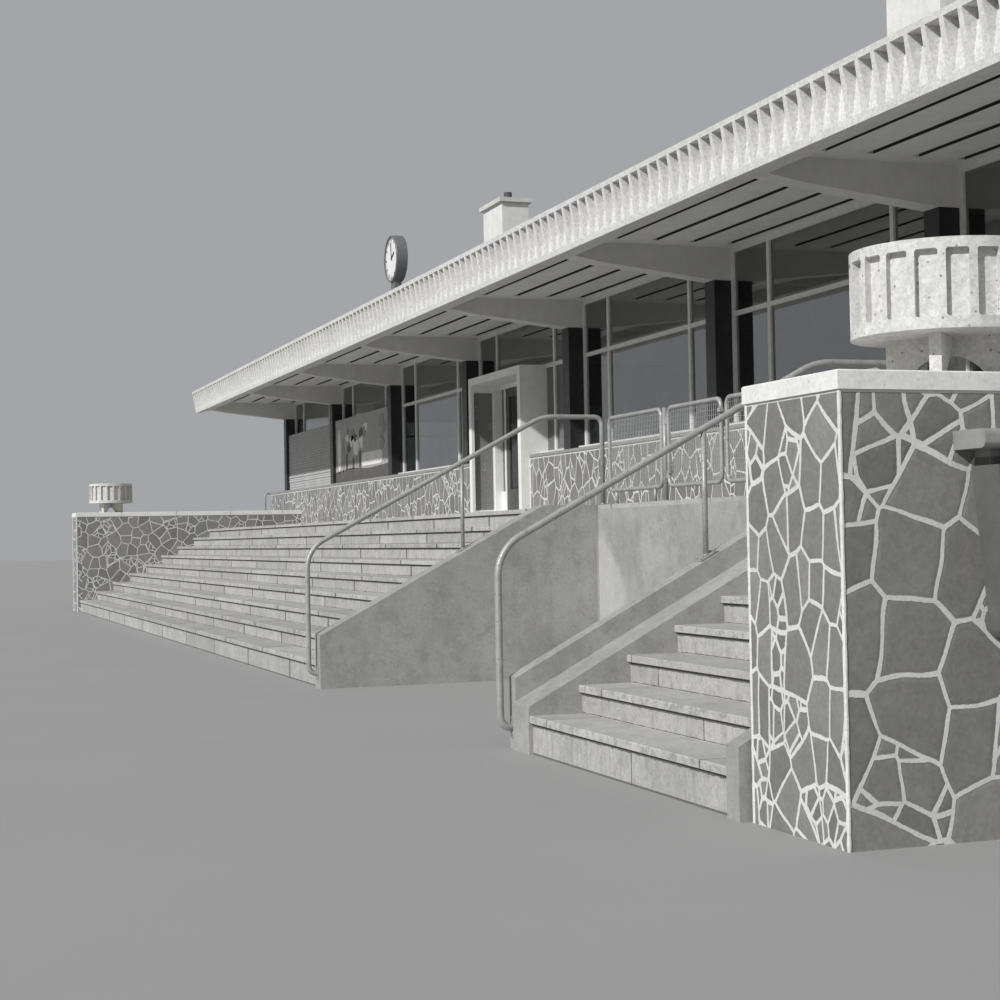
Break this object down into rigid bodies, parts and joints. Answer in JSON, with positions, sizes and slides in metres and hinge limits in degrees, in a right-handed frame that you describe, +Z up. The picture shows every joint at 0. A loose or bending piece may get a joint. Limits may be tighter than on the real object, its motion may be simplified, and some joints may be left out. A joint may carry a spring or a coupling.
{
  "type": "railway station building",
  "caption": "Long low station building: glazed hall with ribbed overhanging roof, stone terrace with broad stairs, planters, gates and a roof clock.",
  "frame": {"origin": "centre of the bounding box on the ground", "axes": "+X along the front to the right as seen from the square, +Y from the stairs into the building, +Z up"},
  "size_m": [37.777, 14.437, 6.98],
  "materials": {
    "stair_stone": "worn matt paving stone",
    "concrete": "pitted, weathered concrete",
    "rubble_stone": "dark rubble stone with wide light mortar joints",
    "coping_stone": "smooth pale concrete",
    "planter_concrete": "cast pale concrete",
    "floor_stone": "ground stone floor",
    "dark_column": "dark paint on concrete, satin",
    "pale_beam": "pale paint on concrete",
    "roofing": "gravelled roof covering",
    "fascia_concrete": "fine precast concrete",
    "soffit": "pale paint on plaster",
    "window_frame": "pale paint, satin",
    "glass": "clear glass",
    "boarding": "painted boards, matt",
    "picture_paint": "painted board",
    "porch_white": "white paint, satin",
    "door_frame_paint": "grey paint, satin",
    "rail_steel": "galvanised steel tube",
    "render": "rendered masonry",
    "cap_concrete": "weathered concrete",
    "clock_case": "dark grey paint, satin",
    "dial_white": "white dial with black hands",
    "letter_box": "smooth paint"
  },
  "bodies": {
    "building": {"stair_risers": "stair_stone", "stair_treads": "stair_stone", "terrace_slab": "stair_stone", "terrace_fill": "concrete", "cheek_wall_left": "concrete", "cheek_wall_right": "concrete", "stair_curbs": "concrete", "niche_back_wall": "concrete", "flank_wall_left": "rubble_stone", "flank_wall_right": "rubble_stone", "flank_copings": "coping_stone", "planter_tubs": "planter_concrete", "planter_feet": "planter_concrete", "front_plinth": "rubble_stone", "rear_plinth": "rubble_stone", "end_plinths": "rubble_stone", "porch_base": "concrete", "front_copings": "coping_stone", "rear_coping": "coping_stone", "end_copings": "coping_stone", "floor_slab": "floor_stone", "columns": "dark_column", "roof_beams": "pale_beam", "roof_slab": "roofing", "edge_beams": "pale_beam", "front_fascia": "fascia_concrete", "rear_fascia": "fascia_concrete", "soffit_panels": "soffit", "front_window_frames": "window_frame", "entrance_window_frame": "window_frame", "rear_window_frames": "window_frame", "front_window_panes": "glass", "rear_window_panes": "glass", "porch_glass": "glass", "boarded_panels": "boarding", "picture_panel": "picture_paint", "porch_surround": "porch_white", "door_frame": "porch_white", "stair_handrails": "rail_steel", "side_handrails": "rail_steel", "gate_posts": "rail_steel", "mesh_screens": "rail_steel", "chimney_shafts": "render", "chimney_caps": "cap_concrete", "clock_case": "clock_case", "clock_dial": "dial_white", "letter_box": "letter_box"},
    "left_gate": {"gate_left": "rail_steel"},
    "right_gate": {"gate_right": "rail_steel"},
    "left_door": {"door_leaf_left": "door_frame_paint", "door_pane_left": "glass"},
    "right_door": {"door_leaf_right": "door_frame_paint", "door_pane_right": "glass"}
  },
  "joints": [
    {"name": "gate_left_hinge", "type": "hinge", "parent": "building", "child": "left_gate", "pos_m": [7.24, -4.1885, 2.176], "axis": [0, 0, 1], "range_deg": [0, 100]},
    {"name": "gate_right_hinge", "type": "hinge", "parent": "building", "child": "right_gate", "pos_m": [9.55, -4.1885, 2.176], "axis": [0, 0, 1], "range_deg": [-100, 0]},
    {"name": "door_left_hinge", "type": "hinge", "parent": "building", "child": "left_door", "pos_m": [-3.267, -1.9245, 2.7], "axis": [0, 0, 1], "range_deg": [0, 95]},
    {"name": "door_right_hinge", "type": "hinge", "parent": "building", "child": "right_door", "pos_m": [-1.663, -1.9245, 2.7], "axis": [0, 0, 1], "range_deg": [-95, 0]}
  ]
}
